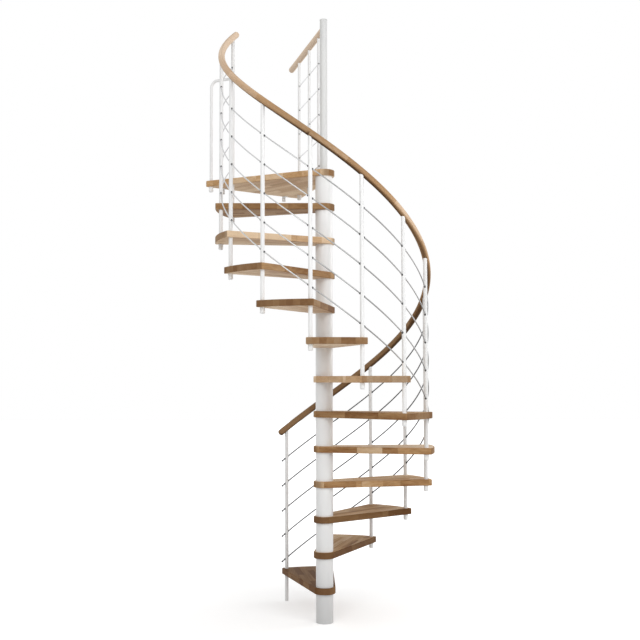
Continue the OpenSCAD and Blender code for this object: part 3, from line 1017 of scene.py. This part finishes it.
@dataclass
class Column:
    """The spacer tubes between the boards, the pole up through them and its cap."""

    flight: Flight
    tube_wall: float = 0.003
    pole_wall: float = 0.0043
    rim: float = 0.0008
    sides: int = 128
    cap_round: float = 0.003
    cap_rim: float = 0.0005
    cap_crown: float = 0.0012
    cap_sides: int = 96
    # Painted shade: the tubes darker toward the foot
    shade_heights: tuple[float, ...] = (0.0, 0.18, 0.27, 0.6, 1.2)
    light_and_tones: tuple[float, ...] = (-0.28, -0.24, -0.12, -0.05, 0.0)

    def tube(self, length: float) -> Mesh:
        """Turns one spacer tube with eased rims.

        Args:
            length: the tube's length.

        Returns:
            A closed mesh that stands on the origin.
        """
        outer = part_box("column_sleeves")[1].x
        inner, e = outer - self.tube_wall, self.rim
        profile = [(inner, e), (inner + e, 0), *rounded((outer - e, e), e, -90, 0, 3),
                   *rounded((outer - e, length - e), e, 0, 90, 3),
                   (inner + e, length), (inner, length - e), (inner, e)]
        return turned_mesh("spacer_tube", profile, self.sides)

    def cap(self) -> Mesh:
        """Turns the pole's cap, crowned and with a rounded rim.

        Returns:
            A closed mesh in its place.
        """
        low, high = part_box("pole_cap")
        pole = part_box("centre_pole")[1]
        r, e, rim, plug = high.x, self.cap_round, self.cap_rim, pole.x - self.pole_wall
        profile = [(0, low.z), (plug, low.z), (plug, pole.z), (r - rim, pole.z), (r, pole.z + rim),
                   *rounded((r - e, high.z - self.cap_crown - e), e, 0, 84, 6),
                   (r * 0.6, high.z - self.cap_crown / 3), (0, high.z)]
        return turned_mesh("pole_cap_turned", profile, self.cap_sides)

    def dress(self) -> None:
        """Builds the tubes and the cap, and coats the pole and the base plate."""
        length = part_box("tread_01")[0].z
        marks = [((0, 0, k * self.flight.rise), (0, 0, 1)) for k in range(self.flight.treads + 1)]
        tubes = repeated("column_tubes", self.tube(length), marks, WHITE_COLUMN)
        store(tubes.data, LIGHT_AND_TONE, np.interp(heights(tubes.data), self.shade_heights, self.light_and_tones))
        fitted(tubes, Slot.COLUMN_PAINT, "column_sleeves")
        cap = new_object("pole_cap_piece", self.cap())
        cap.data.materials.append(material_of(WHITE_POLE_SHADED))
        fitted(cap, Slot.COLUMN_PAINT, "pole_cap")
        coat_nodes(["base_plate"], WHITE_COLUMN)
        coat_nodes(["centre_pole"], WHITE_POLE_SHADED)


# ---- Railing of the flight ----


@dataclass
class Handrail:
    """The round oak handrail, in three lengths that meet end to end."""

    flight: Flight
    radius: float = 0.021
    overhang: float = 0.07
    gap: float = 0.0003
    lengths: int = 3
    stretches: int = 22
    sides: int = 40
    grain_step: float = 5.3
    # Painted light and shade along the rail, post by post: darker low on the flight, paler near the top, with
    # painted shade on the underside
    light_and_tones: tuple[float, ...] = (
        -0.22, -0.24, -0.26, -0.22, -0.04, 0.2, 0.26, 0.02, -0.14, 0.06, 0.2, 0.36, 0.34)
    under_shading: tuple[float, ...] = (
        -0.4, -0.4, -0.4, -0.4, -0.4, -0.5, -0.6, -0.7, -0.7, -0.6, -0.3, 0.1, 0.0)

    def line(self, i: int) -> Line:
        """Lays out one length.

        Args:
            i: the length's number, counted from 0.

        Returns:
            Its points, with the share of the radius at each.
        """
        flight, level = self.flight, self.flight.rail_height
        bays = flight.treads // self.lengths
        half_gap = flight.along(self.gap / 2)
        start = i * bays + (half_gap if i else 0)
        end = (i + 1) * bays - (half_gap if i < self.lengths - 1 else 0)
        places = [(k, 1.0) for k in np.linspace(start, end, bays * self.stretches + 1)]
        tips = [(flight.along(self.overhang - before), girth) for before, girth in dome(self.radius)]
        if i == 0:
            places = [(-reach, girth) for reach, girth in tips[::-1]] + places
        if i == self.lengths - 1:
            places += [(flight.treads + reach, girth) for reach, girth in tips]
        return [(flight.point(k, level), girth) for k, girth in places]

    def dress(self) -> None:
        """Builds the three lengths."""
        level = self.flight.rail_height
        for i in range(self.lengths):
            piece = swept(f"handrail_length_{i + 1}", [self.line(i)], self.radius, self.sides, RAIL_OAK,
                          self.grain_step * i)
            shade_along(piece, self.flight, level, self.light_and_tones, self.under_shading)
            fitted(piece, Slot.RAIL_WOOD, f"handrail_{i + 1}")


@dataclass
class Rods:
    """Five rows of round rods, one rod to each bay of each row."""

    flight: Flight
    radius: float = 0.004
    straight: float = 0.018
    half_gap: float = 0.0005
    tail: float = 0.044
    stub: float = 0.017
    stretches: int = 16
    sides: int = 16
    grain_step: float = 1.7
    # Painted light and shade along the flight: the rods darker toward the foot and brighter toward the top
    light_and_tones: tuple[float, ...] = (-0.65, -0.72, -0.74, -0.68, -0.45, 0.0, 0.35, -0.1, 0.5, 1.1, 1.3, 1.3, 1.3)

    def line(self, k: int, i: int) -> Line:
        """Lays out the rod in one bay, straight where it passes the posts.

        Args:
            k: the bay's number, counted from 0.
            i: the row's number, counted from 0.

        Returns:
            Its points, with the share of the radius at each.
        """
        flight, straight = self.flight, self.flight.along(self.straight)
        places = [k + flight.along(self.half_gap)] if k else [-flight.along(self.tail), -straight]
        places += [*np.linspace(k + straight, k + 1 - straight, self.stretches + 1)]
        past = self.stub if k == flight.treads - 1 else -self.half_gap
        places.append(k + 1 + flight.along(past))
        return [(flight.point(p, flight.rod_level(i)), 1.0) for p in places]

    def dress(self) -> None:
        """Builds the five rows."""
        for i in range(self.flight.rods):
            lines = [self.line(k, i) for k in range(self.flight.treads)]
            piece = swept(f"rod_row_{i + 1}", lines, self.radius, self.sides, ROD_STEEL, self.grain_step * i)
            shade_along(piece, self.flight, self.flight.rod_level(i), self.light_and_tones)
            fitted(piece, Slot.ROD_STEEL, f"rods_{i + 1}")


@dataclass
class Feet:
    """Cups with rounded bottoms under the boards, one on each post."""

    flight: Flight
    radius: float = 0.015
    bore: float = 0.0128
    length: float = 0.038
    floor: float = 0.005
    bottom_round: float = 0.008
    rim: float = 0.0006
    clearance: float = 0.0001
    sides: int = 48

    def shape(self) -> Mesh:
        """Turns one foot.

        Returns:
            A closed mesh that hangs from the origin.
        """
        r, e, top, inside = self.radius, self.bottom_round, -self.clearance, self.floor - self.length
        profile = [(0, -self.length), *rounded((r - e, e - self.length), e, -90, 0, 8), (r, top - self.rim),
                   (r - self.rim, top), (self.bore, top), (self.bore, inside), (0, inside)]
        return turned_mesh("foot", profile, self.sides)

    def dress(self, railing: "LandingRailing") -> None:
        """Sets a foot under every board that a post passes.

        Args:
            railing: the landing's railing, whose posts and hoop have feet too.
        """
        low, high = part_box("tread_01")
        marks = [(self.flight.point(k, low.z - high.z), (0, 0, 1)) for k in range(1, self.flight.treads + 1)]
        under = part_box("landing")[0].z
        marks += [((x, y, under), (0, 0, 1)) for x, y in [*railing.post_places(), railing.hoop_place()]]
        cups = repeated("post_feet_cups", self.shape(), marks, WHITE_POST)
        fitted(cups, Slot.POST_PAINT, "post_feet")


# ---- Landing ----


@dataclass
class LandingRailing:
    """The straight railing at the landing's far side, and the end hoop at its near corner."""

    post_radii: tuple[float, ...] = (0.654, 0.37, 0.125)
    post_radius: float = 0.01
    rail_radius: float = 0.021
    rail_height: float = 0.938
    rail_end: float = 0.899
    rail_start: float = 0.013
    rod_first: float = 0.056
    rod_last: float = 0.192
    rod_radius: float = 0.004
    rod_stub: float = 0.017
    rods: int = 5
    pole_clearance: float = 0.0003
    dome_start: float = 0.03
    rail_stretches: int = 23
    rail_sides: int = 40
    rod_stretches: int = 11
    rod_sides: int = 16
    # Painted light: the landing's rods and rail made brighter and paler than the flight's
    rod_light: float = 1.3
    rail_light: float = 0.38
    rod_grain: float = 9.0
    rail_grain: float = 31.0

    @property
    def level(self) -> float:
        """Returns the height of the landing's top."""
        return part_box("landing")[1].z

    @property
    def heading(self) -> Vector:
        """Returns the direction in which the railing runs out from the column."""
        low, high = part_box("landing_posts")
        return Vector((low.x + self.post_radius, high.y - self.post_radius, 0)).normalized()

    def out(self, distance: float, height: float) -> Point:
        """Returns the railing's point at a distance from the column's axis and a height above the landing."""
        way = self.heading
        return way.x * distance, way.y * distance, self.level + height

    def post_places(self) -> list[Place]:
        """Returns the plan places of the three posts."""
        return [self.out(r, 0)[:2] for r in self.post_radii]

    def hoop_place(self) -> Place:
        """Returns the plan place of the end hoop's leg."""
        low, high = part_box("end_hoop")
        return low.x + self.post_radius, high.y - self.post_radius

    def rod_height(self, i: int) -> float:
        """Returns the height of rod i above the landing, counted from 0."""
        return spaced(self.rod_first, self.rail_height - self.rod_last, self.rods, i)

    def finish(self, piece: Thing, tone: float, slot: Slot, node: str) -> None:
        """Gives a piece one even stored tone of painted light and hands it to the frame."""
        store(piece.data, LIGHT_AND_TONE, np.full(len(piece.data.vertices), tone))
        fitted(piece, slot, node)

    def dress(self) -> None:
        """Builds the rail and the rods."""
        straight = np.linspace(self.rail_start, self.rail_end - self.dome_start, self.rail_stretches + 1)
        run = [(d, 1.0) for d in straight]
        run += [(self.rail_end - before, girth) for before, girth in dome(self.rail_radius)]
        line = [(self.out(d, self.rail_height), girth) for d, girth in run]
        rail = swept("landing_rail_length", [line], self.rail_radius, self.rail_sides, RAIL_OAK,
                     self.rail_grain)
        self.finish(rail, self.rail_light, Slot.RAIL_WOOD, "landing_rail")
        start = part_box("centre_pole")[1].x - self.pole_clearance
        run = np.linspace(start, self.post_radii[0] + self.rod_stub, self.rod_stretches + 1)
        lines = [[(self.out(d, self.rod_height(i)), 1.0) for d in run] for i in range(self.rods)]
        rods = swept("landing_rod_row", lines, self.rod_radius, self.rod_sides, ROD_STEEL, self.rod_grain)
        self.finish(rods, self.rod_light, Slot.ROD_STEEL, "landing_rods")


# ---- Small parts ----


@dataclass
class Bushes:
    """Black bushes where the rods leave the posts, and caps on the rods' free ends."""

    flight: Flight
    railing: LandingRailing
    radius: float = 0.006
    bore: float = 0.0041
    rod_exit: float = 0.0205
    level_exit: float = 0.0118
    length: float = 0.012
    level_length: float = 0.005
    lip: float = 0.0011
    cap_radius: float = 0.0054
    cap_length: float = 0.009
    cap_round: float = 0.0022
    foot_cap: float = 0.0455
    head_cap: float = 0.0225
    level_cap: float = 0.0185
    sides: int = 20

    def bush(self, length: float) -> Mesh:
        """Turns a bush with a rounded lip.

        Args:
            length: the bush's length.

        Returns:
            A closed mesh, its lip at the origin and its body behind.
        """
        r, e = self.radius, self.lip
        profile = [(self.bore, -length), (r, -length), (r, -e), *rounded((r - e, -e), e, 15, 90, 4),
                   (self.bore, 0), (self.bore, -length)]
        return turned_mesh("bush", profile, self.sides)

    def cap(self) -> Mesh:
        """Turns a rod's end cap.

        Returns:
            A closed mesh, its tip at the origin.
        """
        r, e = self.cap_radius, self.cap_round
        profile = [(0, -self.cap_length), (r, -self.cap_length), *rounded((r - e, -e), e, 0, 90, 5), (0, 0)]
        return turned_mesh("rod_cap", profile, self.sides)

    def mark(self, k: int, i: int, way: int, reach: float) -> tuple[Point, Point]:
        """Finds a place on a rod near a post.

        Args:
            k: the post's number.
            i: the row's number, counted from 0.
            way: 1 up the climb, -1 down it.
            reach: distance from the middle of the post.

        Returns:
            The place and the direction away from the post.
        """
        out = Vector(self.flight.climb(k)) * way
        return tuple(Vector(self.flight.point(k, self.flight.rod_level(i))) + out * reach), tuple(out)

    def dress(self) -> None:
        """Sets every bush and cap."""
        railing, treads, both = self.railing, self.flight.treads, (-1, 1)
        outward = railing.heading
        slanted, level, caps = [], [], []
        for i in range(self.flight.rods):
            slanted += [self.mark(k, i, way, self.rod_exit) for k in range(treads + 1) for way in both]
            caps += [self.mark(0, i, -1, self.foot_cap), self.mark(treads, i, 1, self.head_cap)]
            height = railing.rod_height(i)
            level += [(railing.out(r + way * self.level_exit, height), tuple(outward * way))
                      for r in railing.post_radii for way in both]
            caps.append((railing.out(railing.post_radii[0] + self.level_cap, height), tuple(outward)))
        fitted(repeated("rod_bushes", self.bush(self.length), slanted, BLACK_BUSH))
        fitted(repeated("landing_rod_bushes", self.bush(self.level_length), level, GREY_BUSH))
        fitted(repeated("rod_end_caps", self.cap(), caps, BLACK_BUSH))


# ---- Studio ----


@dataclass(frozen=True)
class Lamp:
    """One soft square lamp."""

    name: str
    place: Point
    aim: Point
    width: float
    power: float

    def light(self) -> None:
        """Hangs the lamp."""
        data = bpy.data.lights.new(self.name, "AREA")
        data.shape, data.size, data.energy = "SQUARE", self.width, self.power
        lamp = new_object(self.name, data)
        lamp.location = self.place
        lamp.rotation_euler = (Vector(self.place) - Vector(self.aim)).to_track_quat("Z", "Y").to_euler()
        lamp.visible_camera = False


@dataclass
class Studio:
    """The pale floor, the white surround, the lamps and the camera."""

    floor_width: float = 60.0
    floor_level: float = -0.0005
    overhead: float = 0.5
    level: float = 0.9
    near_glow: float = 0.36
    far_glow: float = 0.8
    lens: float = 55.446
    camera_place: Point = (-0.0233, -6.3363, 1.5362)
    yaw: float = 0.0286
    pitch: float = 3.424
    roll: float = -0.112
    lamps: tuple[Lamp, ...] = (
        Lamp("key_lamp", (3.1, -3.6, 4.2), (0, 0, 2.8), 2.2, 64),
        Lamp("front_lamp", (-1.3, -4.5, 4.3), (0, 0, 2.8), 2.0, 52),
        Lamp("side_lamp", (4.5, 2.2, 3.0), (0, 0, 2.0), 2.4, 52),
        Lamp("low_lamp", (1.5, -4.4, 1.9), (0, 0, 1.9), 1.6, 16))

    def world(self) -> None:
        """Lights the surround, plain white to the camera and to mirrors."""
        world = bpy.data.worlds.new("surround")
        bpy.context.scene.world = world
        world.use_nodes = True
        world.node_tree.nodes.clear()
        bench = Bench(world.node_tree)
        rays = bench.put("ShaderNodeLightPath").outputs
        seen = bench.math("MAXIMUM", rays["Is Camera Ray"],
                          bench.math("MAXIMUM", rays["Is Glossy Ray"], rays["Is Transmission Ray"]))
        way = bench.out("ShaderNodeTexCoord", output="Generated")
        height = bench.math("ABSOLUTE", bench.out("ShaderNodeSeparateXYZ", {0: way}, 2))
        plain_light = bench.span(height, 0, 1, self.level, self.overhead)
        strength = bench.math("MAXIMUM", plain_light, seen)
        plain = bench.out("ShaderNodeBackground", {"Color": (1, 1, 1, 1), "Strength": strength})
        bench.put("ShaderNodeOutputWorld", {"Surface": plain})

    def floor(self) -> None:
        """Lays the floor, which shows the staircase's shadow."""
        half = self.floor_width / 2
        corners = [(x * half, y * half, self.floor_level) for x, y in ((-1, -1), (1, -1), (1, 1), (-1, 1))]
        floor = new_object("floor", mesh_of("floor", corners, [(0, 1, 2, 3)]))
        material, bench, shader = new_material("pale_floor")
        shader.inputs["Base Color"].default_value = (0.8, 0.8, 0.8, 1)
        shader.inputs["Roughness"].default_value = 0.9
        shader.inputs["Emission Color"].default_value = (1, 1, 1, 1)
        rays = bench.put("ShaderNodeLightPath").outputs
        place = bench.out("ShaderNodeTexCoord", output="Object")
        distance = bench.out("ShaderNodeVectorMath", {0: place}, "Value", operation="LENGTH")
        spread = bench.span(distance, 0.9, 4.0, self.near_glow, self.far_glow)
        seen = bench.math("MAXIMUM", rays["Is Camera Ray"], rays["Is Glossy Ray"])
        bench.join(shader, {"Emission Strength": bench.math("MULTIPLY", seen, spread)})
        floor.data.materials.append(material)

    def camera(self) -> None:
        """Sets up the camera."""
        data = bpy.data.cameras.new("camera")
        data.lens, data.sensor_width = self.lens, 36.0
        camera = new_object("camera", data)
        turns = ((self.yaw, "Z"), (90 + self.pitch, "X"), (self.roll, "Z"))
        yaw, pitch, roll = (Matrix.Rotation(math.radians(angle), 4, axis) for angle, axis in turns)
        camera.matrix_world = Matrix.Translation(self.camera_place) @ (yaw @ pitch @ roll)
        bpy.context.scene.camera = camera

    def dress(self) -> None:
        """Builds the whole studio."""
        self.world()
        self.floor()
        for lamp in self.lamps:
            lamp.light()
        self.camera()
        bpy.context.scene.view_settings.view_transform = "Standard"


def main() -> None:
    """Builds the staircase in order, then the studio."""
    logging.basicConfig(level=logging.INFO, format="%(name)s %(message)s")
    flight, railing = Flight(), LandingRailing()
    Boards(flight).dress()
    Column(flight).dress()
    coat_nodes([f"post_{k:02d}" for k in range(flight.treads + 1)], WHITE_POST)
    coat_nodes(["landing_posts", "end_hoop", "landing_brackets"], WHITE_POST)
    Handrail(flight).dress()
    Rods(flight).dress()
    railing.dress()
    Feet(flight).dress(railing)
    Bushes(flight, railing).dress()
    Studio().dress()


if __name__ == "__main__":
    main()
